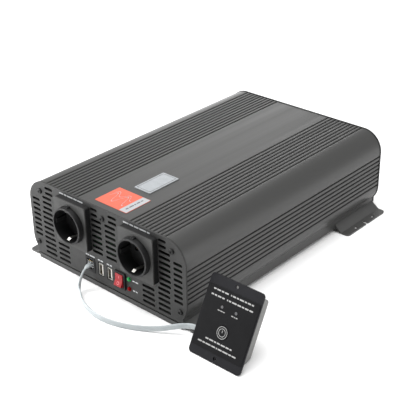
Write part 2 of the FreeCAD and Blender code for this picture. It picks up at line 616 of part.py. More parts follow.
def rocker_frame():
    """Bezel on the panel and the switch box behind it."""
    x = ROCKER_X
    z = ROCKER_Z
    bezel = rounded_box(x - ROCKER_FRAME_W / 2, -PANEL_Y - 2.2, z - ROCKER_FRAME_H / 2,
                        x + ROCKER_FRAME_W / 2, -PANEL_Y, z + ROCKER_FRAME_H / 2, 1.2)
    well = box(x - 7.2, -PANEL_Y - 0.5, z - 9.4, x + 7.2, -PANEL_Y + 17, z + 9.4)
    body = joined([bezel, well])
    room = box(x - ROCKER_W / 2 - 0.35, -PANEL_Y - 4, z - ROCKER_ROOM_HALF_H,
               x + ROCKER_W / 2 + 0.35, -PANEL_Y + 10, z + ROCKER_ROOM_HALF_H)
    pin = rod(x - 6.4, -PANEL_Y + ROCKER_PIVOT_DEPTH, z, 1.02, 12.8, V(1, 0, 0))
    tabs = [box(x - 3.1, -PANEL_Y + 16, z + dz - 0.4, x + 3.1, -PANEL_Y + 25, z + dz + 0.4)
            for dz in (-6, 0, 6)]
    return joined([body.cut([room, pin])] + tabs)


def rocker_button():
    """The red rocker, top pressed in: two faces in a shallow V on a pin through the bezel's sides."""
    half = [(-ROCKER_CROWN - ROCKER_FACE * math.tan(math.radians(ROCKER_TILT)), ROCKER_FACE),
            (-3.0, ROCKER_FACE + 0.6), (0.0, ROCKER_FACE + 0.7), (3.5, 6.0)]
    outline = [(-ROCKER_CROWN, 0)] + half + [(5.0, 0)] + [(y, -z) for y, z in reversed(half)]
    points = [V(0, y, z) for y, z in outline]
    body = Part.Face(Part.makePolygon(points + [points[0]])).extrude(V(ROCKER_W, 0, 0))
    pin = rod(-0.6, 0, 0, 0.98, ROCKER_W + 1.2, V(1, 0, 0))
    body = joined([body, pin])
    pivot = V(ROCKER_X - ROCKER_W / 2, -PANEL_Y + ROCKER_PIVOT_DEPTH, ROCKER_Z)
    body.Placement = FreeCAD.Placement(pivot, FreeCAD.Rotation(V(1, 0, 0), -ROCKER_TILT))
    return body


def led(z):
    """A 5 mm lamp with a domed lens and a flange behind the panel."""
    dome = Part.makeSphere(LED_R, V(LED_X, -PANEL_Y, z))
    stem = rod(LED_X, -PANEL_Y, z, LED_R, 7.4)
    flange = rod(LED_X, -PANEL_Y + 2.3, z, LED_R + 0.4, 1.0)
    return joined([dome, stem, flange])


def front_board():
    """Small upright circuit board that carries the ports, switch and lamps."""
    y = -PANEL_Y + 18.4
    board = box(-36, y, BOARD_TOP + 0.2, 46, y + BOARD_T, 42)
    cuts = [box(ROCKER_X - 8, y - 1, ROCKER_Z - 10, ROCKER_X + 8, y + 3, ROCKER_Z + 10)]
    chips = [box(-34, y + BOARD_T, 24, -24, y + 4, 34), box(-4, y + BOARD_T, 22, 8, y + 4.5, 32)]
    return joined([board.cut(cuts)] + chips)


# ---------------------------------------------------------------- inside


def main_board():
    board = box(-BOARD_HALF_W, -BOARD_HALF_L, BOARD_Z, BOARD_HALF_W, BOARD_HALF_L, BOARD_TOP)
    board = board.cut([rod(x, y, 0, 1.6, 30, V(0, 0, 1)) for x in STANDOFF_X for y in STANDOFF_Y])
    chips = [box(x, -28, BOARD_TOP - 0.1, x + 16, -12, BOARD_TOP + 3) for x in (-60, -20, 20)]
    return joined([board] + chips)


def standoff(x, y):
    """A hexagonal brass pillar with a screw tip through the floor sheet."""
    corner = 3.2
    angles = [math.radians(60 * k) for k in range(7)]
    points = [V(x + corner * math.cos(a), y + corner * math.sin(a), BASE_TOP) for a in angles]
    pillar = Part.Face(Part.makePolygon(points)).extrude(V(0, 0, BOARD_Z - BASE_TOP))
    return joined([pillar, rod(x, y, BASE_BOTTOM + 0.2, 1.5, 4, V(0, 0, 1))])


def transformer_core(x):
    """A ferrite pair of E halves closed into a figure of eight."""
    z0 = BOARD_TOP + 2
    core = box(x - 25, TRANSFORMER_Y - 10.5, z0, x + 25, TRANSFORMER_Y + 10.5, z0 + 46)
    windows = [box(x + a, TRANSFORMER_Y - 11, z0 + 7.5, x + b, TRANSFORMER_Y + 11, z0 + 38.5)
               for a, b in ((-17.5, -8.5), (8.5, 17.5))]
    return core.cut(windows)


def transformer_winding(x):
    """The copper coil on its bobbin around the middle leg."""
    z0 = BOARD_TOP + 2
    coil = upright_rounded_box(x - 17.2, TRANSFORMER_Y - 19, z0 + 8,
                               x + 17.2, TRANSFORMER_Y + 19, z0 + 38, 7)
    coil = coil.cut(box(x - 8.8, TRANSFORMER_Y - 10.8, z0, x + 8.8, TRANSFORMER_Y + 10.8, z0 + 46))
    feet = [box(x - 15, TRANSFORMER_Y + a, BOARD_TOP, x + 15, TRANSFORMER_Y + b, z0 + 9)
            for a, b in ((-17, -12), (12, 17))]
    return joined([coil] + feet)


def capacitor(x, y, radius, height):
    """A canned capacitor with a rolled groove and a scored top."""
    can = rod(x, y, BOARD_TOP, radius, height, V(0, 0, 1))
    groove = Part.makeTorus(radius + 0.6, 1.4, V(x, y, BOARD_TOP + 4))
    score = [box(x - 6, y - 0.3, BOARD_TOP + height - 0.4, x + 6, y + 0.3, BOARD_TOP + height + 1),
             box(x - 0.3, y - 6, BOARD_TOP + height - 0.4, x + 0.3, y + 6, BOARD_TOP + height + 1)]
    return can.cut([groove] + score)


def heatsink(side):
    """A finned aluminium bar standing on the board along one side wall."""
    y = HEATSINK_HALF_L
    plate = [(side * HEATSINK_X, BOARD_TOP), (side * (HEATSINK_X + 5), BOARD_TOP),
             (side * (HEATSINK_X + 5), 70), (side * HEATSINK_X, 70)]
    parts = [extrude_xz(plate, -y, y)]
    for k in range(6):
        z = 30 + 7.5 * k
        x0, x1 = sorted((side * (HEATSINK_X + 4.5), side * (HEATSINK_X + 16)))
        parts.append(box(x0, -y, z, x1, y, z + 1.8))
    return joined(parts)


def power_transistor(side, y):
    """A flat power transistor: moulded body, metal tab and three legs."""
    x0, x1 = sorted((side * (HEATSINK_X - 4.8), side * (HEATSINK_X - 0.2)))
    body = box(x0, y - 7.8, 28, x1, y + 7.8, 49)
    legs = []
    for dy in (-5.4, 0, 5.4):
        a, b = sorted((side * (HEATSINK_X - 3.2), side * (HEATSINK_X - 2.4)))
        legs.append(box(a, y + dy - 0.6, BOARD_TOP, b, y + dy + 0.6, 28.5))
    return joined([body.cut(rod(-200, y, 45, 1.8, 400, V(1, 0, 0)))] + legs)


def choke_core():
    ring = rod(CHOKE_X, CHOKE_Y, BOARD_TOP + 4, 22, 16, V(0, 0, 1))
    return ring.cut(rod(CHOKE_X, CHOKE_Y, BOARD_TOP, 12, 30, V(0, 0, 1)))


def choke_winding():
    """The wound wire as one thick jacket around the ring, with a gap between its ends."""
    z0 = BOARD_TOP + 1.4
    sleeve = rod(CHOKE_X, CHOKE_Y, z0, 24.6, 21.2, V(0, 0, 1))
    sleeve = sleeve.cut([rod(CHOKE_X, CHOKE_Y, z0 - 1, 9.4, 30, V(0, 0, 1))])
    hollow = rod(CHOKE_X, CHOKE_Y, BOARD_TOP + 3.8, 22.2, 16.4, V(0, 0, 1))
    hollow = hollow.cut(rod(CHOKE_X, CHOKE_Y, BOARD_TOP, 11.8, 30, V(0, 0, 1)))
    gap = box(CHOKE_X, CHOKE_Y - 5, z0 - 1, CHOKE_X + 30, CHOKE_Y + 5, z0 + 30)
    return sleeve.cut([hollow, gap])


# ---------------------------------------------------------------- fans


def fan_corners(x):
    return [(x + sx * FAN_HOLE_OFFSET, FAN_Z + sz * FAN_HOLE_OFFSET) for sx in (-1, 1) for sz in (-1, 1)]


def fan_frame(x):
    """Square frame, four struts and the motor cup that the rotor's shaft turns in."""
    y0 = HALF_LENGTH - FAN_DEPTH
    half = FAN_SIZE / 2
    frame = rounded_box(x - half, y0, FAN_Z - half, x + half, HALF_LENGTH, FAN_Z + half, 4)
    cuts = [rod(x, y0 - 1, FAN_Z, FAN_BORE_R, FAN_DEPTH + 2)]
    cuts += [rod(cx, y0 - 1, cz, 2.1, FAN_DEPTH + 2) for cx, cz in fan_corners(x)]
    frame = frame.cut(cuts)
    struts = []
    for k in range(4):
        strut = box(x + 8, y0, FAN_Z - 1.6, x + FAN_BORE_R + 0.8, y0 + 2.0, FAN_Z + 1.6)
        struts.append(strut.rotate(V(x, 0, FAN_Z), V(0, 1, 0), 45 + 90 * k))
    cup = rod(x, y0, FAN_Z, FAN_HUB_R - 1, 2.0)
    tube = rod(x, y0, FAN_Z, 4.5, 16)
    body = joined([frame, cup, tube] + struts)
    return body.cut(rod(x, y0 + 1.5, FAN_Z, FAN_BEARING_R, 20))


def fan_blade(x, angle):
    """One pitched blade, trimmed to the fan's bore."""
    middle = FAN_FRONT_Y - 8.5
    blade = box(FAN_HUB_R - 0.8, -FAN_BLADE_CHORD / 2, -0.7, FAN_BLADE_R + 4, FAN_BLADE_CHORD / 2, 0.7)
    blade = blade.rotate(V(0, 0, 0), V(1, 0, 0), FAN_BLADE_PITCH)
    blade.translate(V(x, middle, FAN_Z))
    blade = blade.rotate(V(x, middle, FAN_Z), V(0, 1, 0), angle)
    return blade.common(rod(x, FAN_FRONT_Y - 16.5, FAN_Z, FAN_BLADE_R, 15.8))


def fan_rotor(x):
    """Hub, seven blades and the shaft."""
    cap = rod(x, FAN_FRONT_Y - 17.5, FAN_Z, FAN_HUB_R, 17.5)
    rim = [e for e in cap.Edges if abs(e.CenterOfMass.y - FAN_FRONT_Y) < 0.01 and e.Closed]
    cap = cap.makeFillet(1.5, rim)
    cap = cap.cut(rod(x, FAN_FRONT_Y - 18, FAN_Z, FAN_HUB_R - 1.4, 16))
    shaft = rod(x, FAN_FRONT_Y - 16.5, FAN_Z, FAN_SHAFT_R, 16)
    blades = [fan_blade(x, 360 / FAN_BLADES * k) for k in range(FAN_BLADES)]
    return joined([cap, shaft] + blades)


def fan_guard(x):
    """Wire guard: four rings and two cross bars on four screw eyes."""
    bar_y = PANEL_Y + 2.7
    ring_y = bar_y + 1.1
    rings = [Part.makeTorus(r, 0.8, V(x, ring_y, FAN_Z), V(0, 1, 0)) for r in (10.0, 18.5, 27.0, 35.5)]
    reach = FAN_HOLE_OFFSET * math.sqrt(2) - 3.0
    bars = []
    for angle in (45, 135):
        bar = rod(x - reach, bar_y, FAN_Z, 0.75, 2 * reach, V(1, 0, 0))
        bars.append(bar.rotate(V(x, 0, FAN_Z), V(0, 1, 0), angle))
    eyes = [rod(cx, PANEL_Y, cz, 3.8, 3.6).cut(rod(cx, PANEL_Y - 1, cz, 2.2, 6))
            for cx, cz in fan_corners(x)]
    return joined(rings + bars + eyes)


def fan_screw(x, z):
    return pan_screw(x, PANEL_Y + 3.6, z, 1, 26, shank_r=1.95, head_r=3.6, head_h=2.4)


# ---------------------------------------------------------------- battery terminals


def terminal_insulator(x):
    """Moulded collar outside the panel with a spigot through it."""
    collar = rod(x, PANEL_Y, TERMINAL_Z, TERMINAL_R, TERMINAL_OUT)
    outer = [e for e in collar.Edges if abs(e.CenterOfMass.y - PANEL_Y - TERMINAL_OUT) < 0.01 and e.Closed]
    collar = collar.makeFillet(1.5, outer)
    spigot = rod(x, BUS_BAR_Y + 3, TERMINAL_Z, 9.0, PANEL_Y - BUS_BAR_Y - 2)
    return joined([collar, spigot]).cut(rod(x, HALF_LENGTH - 20, TERMINAL_Z, STUD_R + 0.1, 60))


def terminal_stud(x):
    """The stud, with a slightly slimmer free end beyond the nut."""
    tip = rod(x, STUD_TIP_Y - 1, TERMINAL_Z, STUD_TIP_R, STUD_END_Y - STUD_TIP_Y + 1)
    return joined([rod(x, BUS_BAR_Y - 12, TERMINAL_Z, STUD_R, STUD_TIP_Y - BUS_BAR_Y + 12), tip])


def terminal_nut(x, seat_y, outward):
    """A hexagonal flange nut seated at seat_y, its body on the outward side (-1 or 1)."""
    flange = Part.makeCylinder(8.5, 1.4, V(x, seat_y, TERMINAL_Z), V(0, outward, 0))
    y0, y1 = sorted((seat_y + outward * 1.2, seat_y + outward * 7.8))
    nut = joined([flange, hexagon(x, TERMINAL_Z, 13.0, y0, y1)])
    return nut.cut(rod(x, seat_y - 12, TERMINAL_Z, STUD_R + 0.05, 24))


def bus_bar(x):
    """A bent copper strip from the stud down to the board."""
    y0 = BUS_BAR_Y
    upright = box(x - 7, y0, BOARD_TOP, x + 7, y0 + 3, TERMINAL_Z + 8)
    foot_strip = box(x - 7, CAPACITOR_Y + 8, BOARD_TOP, x + 7, y0 + 3, BOARD_TOP + 3)
    return joined([upright, foot_strip]).cut(rod(x, y0 - 1, TERMINAL_Z, STUD_R + 0.1, 6))


# ---------------------------------------------------------------- remote switch, in its own frame


def placed(shape):
    """Move a piece from the remote's own frame (u right, d back, v up) to where it stands."""
    moved = shape.copy()
    moved.Placement = REMOTE_PLACE.multiply(shape.Placement)
    return moved


def remote_holes(radius_button, radius_lamp, d0, d1):
    u, v = REMOTE_BUTTON
    cuts = [rod(u, d0, v, radius_button, d1 - d0)]
    return cuts + [rod(lu, d0, lv, radius_lamp, d1 - d0) for lu, lv in REMOTE_LAMPS]


def remote_plate():
    plate = rounded_box(0, 0, 0, REMOTE_W, REMOTE_PLATE_T, REMOTE_H, 4)
    cuts = remote_holes(REMOTE_BUTTON_R + 0.3, 1.6, -1, 4)
    cuts += [rod(u, -1, v, 1.9, 4) for u, v in REMOTE_HOLES]
    return plate.cut(cuts)


def remote_overlay():
    sheet = rounded_box(0.8, -0.4, 9.3, REMOTE_W - 0.8, 0, 74.3, 1)
    return sheet.cut(remote_holes(REMOTE_BUTTON_R + 0.3, 1.6, -1, 1))


def remote_box_chamfer(inward):
    """The wedge taken off the box's lower back edge, moved inward along the box's depth."""
    d = REMOTE_BOX_BACK - inward - REMOTE_BOX_CHAMFER
    v = REMOTE_BOX_BOTTOM
    reach = REMOTE_BOX_CHAMFER + 30
    points = [V(0, d - 30, v - 30), V(0, d + reach, v - 30), V(0, d + reach, v + reach)]
    return Part.Face(Part.makePolygon(points + [points[0]])).extrude(V(REMOTE_W, 0, 0))


def remote_box():
    """Light grey back box, open toward the face plate, with the lead's opening in its left side."""
    u0 = REMOTE_BOX_SIDE
    u1 = REMOTE_W - REMOTE_BOX_SIDE
    outer = rounded_box(u0, REMOTE_PLATE_T, REMOTE_BOX_BOTTOM, u1, REMOTE_BOX_BACK, REMOTE_BOX_TOP, 3)
    outer = outer.cut(remote_box_chamfer(0))
    inner = rounded_box(u0 + REMOTE_WALL, 0, REMOTE_BOX_BOTTOM + REMOTE_WALL, u1 - REMOTE_WALL,
                        REMOTE_BOX_BACK - REMOTE_WALL, REMOTE_BOX_TOP - REMOTE_WALL, 1.5)
    inner = inner.cut(remote_box_chamfer(REMOTE_WALL * math.sqrt(2)))
    mouth = box(u0 - 1, REMOTE_JACK_D - 6.1, REMOTE_JACK_V - 7.1,
                u0 + 4, REMOTE_JACK_D + 6.1, REMOTE_JACK_V + 7.1)
    return outer.cut([inner, mouth])


def remote_jack():
    """The lead's socket in the left side of the back box."""
    u0 = REMOTE_BOX_SIDE
    shell = box(u0, REMOTE_JACK_D - 6, REMOTE_JACK_V - 7, u0 + 14, REMOTE_JACK_D + 6, REMOTE_JACK_V + 7)
    half_w = RJ_PLUG_W / 2 + 0.1
    half_h = RJ_PLUG_H / 2 + 0.1
    inside = box(u0 - 1, REMOTE_JACK_D - half_h, REMOTE_JACK_V - half_w, u0 + 12.2,
                 REMOTE_JACK_D + half_h, REMOTE_JACK_V + half_w)
    latch = box(u0 - 1, REMOTE_JACK_D - half_h - 1.5, REMOTE_JACK_V - 3.2,
                u0 + 8, REMOTE_JACK_D, REMOTE_JACK_V + 3.2)
    return shell.cut([inside, latch])


def remote_plug():
    """The plug on the lead's far end, in the jack of the back box."""
    plug = rj_plug()
    turn = FreeCAD.Rotation(V(0, 0, 1), -90).multiply(FreeCAD.Rotation(V(0, 1, 0), -90))
    lead_end = V(REMOTE_LEAD_U, REMOTE_JACK_D, REMOTE_JACK_V)
    plug.Placement = FreeCAD.Placement(lead_end, turn)
    return plug


def remote_button():
    """The round key: a cap in the plate's hole, a collar behind it and a stem to the switch."""
    u, v = REMOTE_BUTTON
    cap = rod(u, -1.1, v, REMOTE_BUTTON_R, 3.6)
    rim = [e for e in cap.Edges if abs(e.CenterOfMass.y + 1.1) < 0.01 and e.Closed]
    cap = cap.makeFillet(0.8, rim)
    collar = rod(u, REMOTE_PLATE_T + 0.1, v, REMOTE_BUTTON_R + 1.3, 1.2)
    stem = rod(u, 3, v, 2.0, 3.4)
    return joined([cap, collar, stem])


def remote_board():
    """The circuit board with its key switch, on four posts."""
    board = box(24, 10, 17, 55.8, 11.6, 72)
    u, v = REMOTE_BUTTON
    switch = box(u - 3, 7.6, v - 3, u + 3, 10, v + 3)
    posts = [rod(pu, 11.6, pv, 1.8, REMOTE_BOX_BACK - REMOTE_WALL - 11.6)
             for pu in (27, 53) for pv in (20, 69)]
    return joined([board, switch] + posts)


def remote_lamp(u, v):
    dome = rod(u, -0.5, v, 1.5, 8.0)
    return joined([dome, rod(u, 5.5, v, 1.9, 4.5)])


# ---------------------------------------------------------------- remote cable


def cable():
    """The lead as a plain tube: straight runs joined by arcs as large as the runs allow."""
    points = [V(*p) for p in CABLE_ROUTE]
    edges = []
    here = points[0]
    centre_length = 0
    for before, corner, after in zip(points, points[1:], points[2:]):
        back = before - corner
        ahead = after - corner
        turn = math.pi - back.getAngle(ahead)
        shorter = min(back.Length, ahead.Length)
        radius = 0.45 * shorter / math.tan(turn / 2)
        tangent = 0.45 * shorter
        back.normalize()
        ahead.normalize()
        start = corner + back * tangent
        end = corner + ahead * tangent
        bisector = back + ahead
        bisector.normalize()
        middle = corner + bisector * (radius / math.cos(turn / 2) - radius)
        edges.append(Part.LineSegment(here, start).toShape())
        edges.append(Part.Arc(start, middle, end).toShape())
        centre_length += edges[-2].Length + edges[-1].Length
        here = end
        print("cable arc radius", round(radius, 1), "turn", round(math.degrees(turn), 1))
    edges.append(Part.LineSegment(here, points[-1]).toShape())
    centre_length += edges[-1].Length
    path = Part.Wire(edges)
    circle = Part.Wire(Part.makeCircle(CABLE_R, points[0], points[1] - points[0]))
    tube = path.makePipeShell([circle], True, False)
    expected = math.pi * CABLE_R ** 2 * centre_length
    print("cable length", round(centre_length, 1), "volume ratio", round(tube.Volume / expected, 4))
    return tube


def build_case():
    save("case_shell", case_shell())
    save("base_plate", base_plate())
    save("front_panel", front_panel())
    save("rear_panel", rear_panel())
    save("front_panel_screws", *[pan_screw(x, -PANEL_Y, z, -1, 12) for x, z in PORT_SCREWS])
    save("rear_panel_screws", *[pan_screw(x, PANEL_Y, z, 1, 12) for x, z in PORT_SCREWS])
    for end, side_y in (("front", -1), ("rear", 1)):
        for side, side_x in (("left", -1), ("right", 1)):
            save("foot_" + end + "_" + side, foot(side_x, side_y))
    save("foot_screws", *[foot_screw(x, y) for x, y in foot_screw_places()])
    save("top_label", top_label())
    save("lcd_window", lcd_window())
    save("lcd_module", lcd_module())


def build_front():
    for side, x in SOCKET_X.items():
        save("socket_" + side + "_body", socket_body(x))
        save("socket_" + side + "_cover", socket_cover(x))
        pins = [x - PIN_SPACING / 2, x + PIN_SPACING / 2]
        save("socket_" + side + "_contacts", *[socket_sleeve(pin) for pin in pins])
        save("socket_" + side + "_earth_clips", *[earth_clip(x, s) for s in (-1, 1)])
    save("usb_ports", *[usb_port(x) for x in USB_X])
    save("remote_port", remote_port())
    save("rocker_frame", rocker_frame())
    save("rocker_button", rocker_button())
    for name, z in LED_Z.items():
        save(name, led(z))
    save("front_board", front_board())


def build_inside():
    save("main_board", main_board())
    save("board_standoffs", *[standoff(x, y) for x in STANDOFF_X for y in STANDOFF_Y])
    save("transformer_cores", *[transformer_core(x) for x in TRANSFORMER_X])
    save("transformer_windings", *[transformer_winding(x) for x in TRANSFORMER_X])
    inputs = [capacitor(-65 + 26 * k, CAPACITOR_Y, CAPACITOR_R, CAPACITOR_H) for k in range(6)]
    outputs = [capacitor(x, -70, 15.0, 42.0) for x in (14, 52)]
    save("capacitors", *inputs, *outputs)
    save("heatsink_left", heatsink(-1))
    save("heatsink_right", heatsink(1))
    save("power_transistors", *[power_transistor(s, y) for s in (-1, 1) for y in range(-100, 101, 40)])
    save("choke_core", choke_core())
    save("choke_winding", choke_winding())


def build_rear():
    for side, x in FAN_X.items():
        save("fan_" + side + "_frame", fan_frame(x))
        save("fan_" + side + "_rotor", fan_rotor(x))
    save("fan_guards", *[fan_guard(x) for x in FAN_X.values()])
    save("fan_screws", *[fan_screw(cx, cz) for x in FAN_X.values() for cx, cz in fan_corners(x)])
    save("terminal_positive", terminal_insulator(TERMINAL_X))
    save("terminal_negative", terminal_insulator(-TERMINAL_X))
    save("terminal_studs", *[terminal_stud(x) for x in (-TERMINAL_X, TERMINAL_X)])
    save("terminal_nuts", *[terminal_nut(x, seat, outward) for x in (-TERMINAL_X, TERMINAL_X)
                            for seat, outward in ((PANEL_Y + TERMINAL_OUT, 1), (BUS_BAR_Y, -1))])
    save("bus_bars", *[bus_bar(x) for x in (-TERMINAL_X, TERMINAL_X)])


def build_remote():
    save("remote_plate", placed(remote_plate()))
    save("remote_overlay", placed(remote_overlay()))
    save("remote_box", placed(remote_box()))
    save("remote_jack", placed(remote_jack()))
    save("remote_button", placed(remote_button()))
    save("remote_board", placed(remote_board()))
    save("remote_lamps", *[placed(remote_lamp(u, v)) for u, v in REMOTE_LAMPS])
    save("remote_cable", cable())
    plug = rj_plug()
    lead_end = V(REMOTE_PORT_X, CABLE_START_Y, REMOTE_PORT_Z)
    plug.Placement = FreeCAD.Placement(lead_end, FreeCAD.Rotation())
    save("cable_plug_inverter", plug)
    save("cable_plug_remote", placed(remote_plug()))


os.makedirs("parts", exist_ok=True)
build_case()
build_front()
build_inside()
build_rear()
build_remote()
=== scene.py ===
"""Looks of the power inverter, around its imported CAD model. Metres, in the CAD frame.

Materials for every CAD node, the flat remote lead, printed marks and gilt contacts,
and the studio: floor, lights and camera.
"""

import json
import math

import bpy
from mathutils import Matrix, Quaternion, Vector


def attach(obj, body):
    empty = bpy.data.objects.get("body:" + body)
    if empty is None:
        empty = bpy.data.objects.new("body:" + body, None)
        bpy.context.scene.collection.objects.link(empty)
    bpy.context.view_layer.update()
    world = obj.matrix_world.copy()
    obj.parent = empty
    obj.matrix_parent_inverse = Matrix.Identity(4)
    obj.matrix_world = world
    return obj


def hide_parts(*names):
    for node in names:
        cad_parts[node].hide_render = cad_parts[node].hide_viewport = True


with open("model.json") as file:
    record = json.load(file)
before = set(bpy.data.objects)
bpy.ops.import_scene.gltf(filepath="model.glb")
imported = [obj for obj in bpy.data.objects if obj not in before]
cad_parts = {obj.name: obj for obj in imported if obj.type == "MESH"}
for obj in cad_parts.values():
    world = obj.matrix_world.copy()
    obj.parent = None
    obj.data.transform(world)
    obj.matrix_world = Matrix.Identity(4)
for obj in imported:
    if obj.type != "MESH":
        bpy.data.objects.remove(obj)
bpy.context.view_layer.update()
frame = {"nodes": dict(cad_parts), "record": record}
nodes = frame["nodes"]

MM = 0.001
SHARP_ANGLE = math.radians(32)
X_AXIS = Vector((1, 0, 0))
Z_AXIS = Vector((0, 0, 1))

# ---------------------------------------------------------------- studio

CAMERA_PLACE = Vector((0.7001, -0.7922, 0.6054))
CAMERA_AZIMUTH = math.radians(41.79)
CAMERA_ELEVATION = math.radians(28.50)
CAMERA_ROLL = math.radians(-0.674)
CAMERA_LENS = 85.4

SUN_STRENGTH = 2.9
SKY_STRENGTH = 0.50
FLOOR_TONE = 0.95


def make_camera():
    data = bpy.data.cameras.new("camera")
    data.lens = CAMERA_LENS
    data.sensor_width = 36.0
    data.clip_start = 0.01
    data.clip_end = 50.0
    camera = bpy.data.objects.new("camera", data)
    bpy.context.scene.collection.objects.link(camera)
    level = math.cos(CAMERA_ELEVATION)
    back = Vector((math.sin(CAMERA_AZIMUTH) * level, -math.cos(CAMERA_AZIMUTH) * level,
                   math.sin(CAMERA_ELEVATION)))
    camera.rotation_mode = "QUATERNION"
    look = (-back).to_track_quat("-Z", "Y")
    camera.rotation_quaternion = look @ Quaternion(Z_AXIS, CAMERA_ROLL)
    camera.location = CAMERA_PLACE
    bpy.context.scene.camera = camera


def overhead_sun():
    data = bpy.data.lights.new("overhead", "SUN")
    data.energy = SUN_STRENGTH
    data.angle = math.radians(45)
    lamp = bpy.data.objects.new("overhead", data)
    bpy.context.scene.collection.objects.link(lamp)


def area_light(name, place, target, size, power):
    data = bpy.data.lights.new(name, "AREA")
    data.size = size
    data.energy = power
    lamp = bpy.data.objects.new(name, data)
    lamp.location = place
    lamp.rotation_mode = "QUATERNION"
    lamp.rotation_quaternion = (Vector(target) - Vector(place)).to_track_quat("-Z", "Y")
    bpy.context.scene.collection.objects.link(lamp)


def make_studio():
    scene = bpy.context.scene
    scene.view_settings.view_transform = "Standard"
    world = bpy.data.worlds.new("studio")
    world.use_nodes = True
    world.node_tree.nodes["Background"].inputs["Color"].default_value = (1, 1, 1, 1)
    world.node_tree.nodes["Background"].inputs["Strength"].default_value = SKY_STRENGTH
    scene.world = world
    overhead_sun()
    area_light("left_fill", (-0.62, -0.55, 0.42), (-0.10, -0.18, 0.07), 0.5, 9)
    area_light("sheen", (-1.5, 1.75, 0.55), (-0.05, 0.1, 0.1), 1.0, 7)
    area_light("right_fill", (1.7, 0.5, 0.5), (0.1, 0, 0.05), 1.2, 10)
    half = 6.0
    mesh = bpy.data.meshes.new("floor")
    corners = [(-half, -half, 0), (half, -half, 0), (half, half, 0), (-half, half, 0)]
    mesh.from_pydata(corners, [], [(0, 1, 2, 3)])
    floor = bpy.data.objects.new("floor", mesh)
    scene.collection.objects.link(floor)
    material = bpy.data.materials.new("floor_paper")
    material.use_nodes = True
    shader = material.node_tree.nodes["Principled BSDF"]
    shader.inputs["Base Color"].default_value = (FLOOR_TONE, FLOOR_TONE, FLOOR_TONE, 1)
    shader.inputs["Roughness"].default_value = 0.9
    mesh.materials.append(material)


# ---------------------------------------------------------------- materials


class Surface:
    """Builds one procedural material: colour, roughness and bump from noise at real scales."""

    def __init__(self, name, roughness=0.5, metallic=0.0, **sockets):
        self.material = bpy.data.materials.new(name)
        self.material.use_nodes = True
        self.tree = self.material.node_tree
        self.shader = self.tree.nodes["Principled BSDF"]
        self.shader.inputs["Roughness"].default_value = roughness
        self.shader.inputs["Metallic"].default_value = metallic
        for socket, value in sockets.items():
            self.shader.inputs[socket.replace("_", " ")].default_value = value
        self.coordinates = self.node("ShaderNodeTexCoord").outputs["Object"]

    def node(self, kind, **inputs):
        made = self.tree.nodes.new(kind)
        for socket, value in inputs.items():
            self.feed(made.inputs[socket.replace("_", " ")], value)
        return made

    def feed(self, socket, value):
        if isinstance(value, bpy.types.NodeSocket):
            self.tree.links.new(value, socket)
        else:
            socket.default_value = value

    def noise(self, size_mm, detail=2.0, stretch=(1, 1, 1)):
        """Noise whose blobs are about size_mm across, stretched along the axes."""
        mapping = self.node("ShaderNodeMapping", Vector=self.coordinates)
        mapping.inputs["Scale"].default_value = [1000.0 / (size_mm * s) for s in stretch]
        made = self.node("ShaderNodeTexNoise", Vector=mapping.outputs[0], Scale=1.0, Detail=detail)
        return made.outputs["Fac"]

    def ranged(self, value, low, high, start=0.3, end=0.7):
        made = self.node("ShaderNodeMapRange", Value=value)
        for socket, number in zip(made.inputs[1:5], (start, end, low, high)):
            socket.default_value = number
        return made.outputs[0]

    def mix(self, share, first, second):
        made = self.tree.nodes.new("ShaderNodeMix")
        made.data_type = "RGBA"
        self.feed(made.inputs[0], share)
        self.feed(made.inputs[6], first)
        self.feed(made.inputs[7], second)
        return made.outputs[2]

    def colour(self, base, spread, size_mm, stretch=(1, 1, 1)):
        """Base colour that drifts darker and lighter by spread."""
        low = [c * (1 - spread) for c in base] + [1]
        high = [min(1.0, c * (1 + spread)) for c in base] + [1]
        blend = self.mix(self.ranged(self.noise(size_mm, 4.0, stretch), 0, 1), low, high)
        self.feed(self.shader.inputs["Base Color"], blend)
        return blend

    def rough(self, low, high, size_mm, stretch=(1, 1, 1)):
        self.feed(self.shader.inputs["Roughness"], self.ranged(self.noise(size_mm, 5.0, stretch), low, high))

    def edges(self, radius_mm):
        """The normal of a small bevel, which softens hard edges."""
        bevel = self.node("ShaderNodeBevel", Radius=radius_mm * MM)
        bevel.samples = 4
        return bevel.outputs[0]

    def bump(self, size_mm, depth_mm, stretch=(1, 1, 1), under=None):
        made = self.node("ShaderNodeBump", Height=self.noise(size_mm, 3.0, stretch), Distance=depth_mm * MM,
                         Strength=1.0)
        if under is not None:
            self.feed(made.inputs["Normal"], under)
        return made.outputs[0]

    def finish(self, normal):
        self.feed(self.shader.inputs["Normal"], normal)
        return self.material

    def wear(self, base, worn, amount, radius_mm):
        """Lighter, rubbed colour along convex edges, broken up by noise."""
        geometry = self.node("ShaderNodeNewGeometry")
        bevel = self.node("ShaderNodeBevel", Radius=radius_mm * MM)
        bevel.samples = 4
        dot = self.node("ShaderNodeVectorMath", Vector=bevel.outputs[0])
        dot.operation = "DOT_PRODUCT"
        self.feed(dot.inputs[1], geometry.outputs["Normal"])
        edge = self.ranged(dot.outputs["Value"], amount, 0.0, 0.75, 0.98)
        broken = self.node("ShaderNodeMath")
        broken.operation = "MULTIPLY"
        self.feed(broken.inputs[0], edge)
        self.feed(broken.inputs[1], self.ranged(self.noise(1.8, 6.0), 0.1, 1.0))
        self.feed(self.shader.inputs["Base Color"], self.mix(broken.outputs[0], base, worn))


ALONG_CASE = (1, 60, 1)
USB_X = (-7.3, 6.7)
USB_Z = 25.3
TONGUE_FACE = 0.8
TONGUE_SHIFT = 1.6
TONGUE_REACH = 0.9
TONGUE_HALF_HEIGHT = 5.6
TONGUE_FRONT = -178.8
TONGUE_BACK = -168.0
SOCKET_Z = 72.3
REMOTE_PORT_X = -24.2
CONTACT_PITCH = 1.02
COMB_Z = 29.9


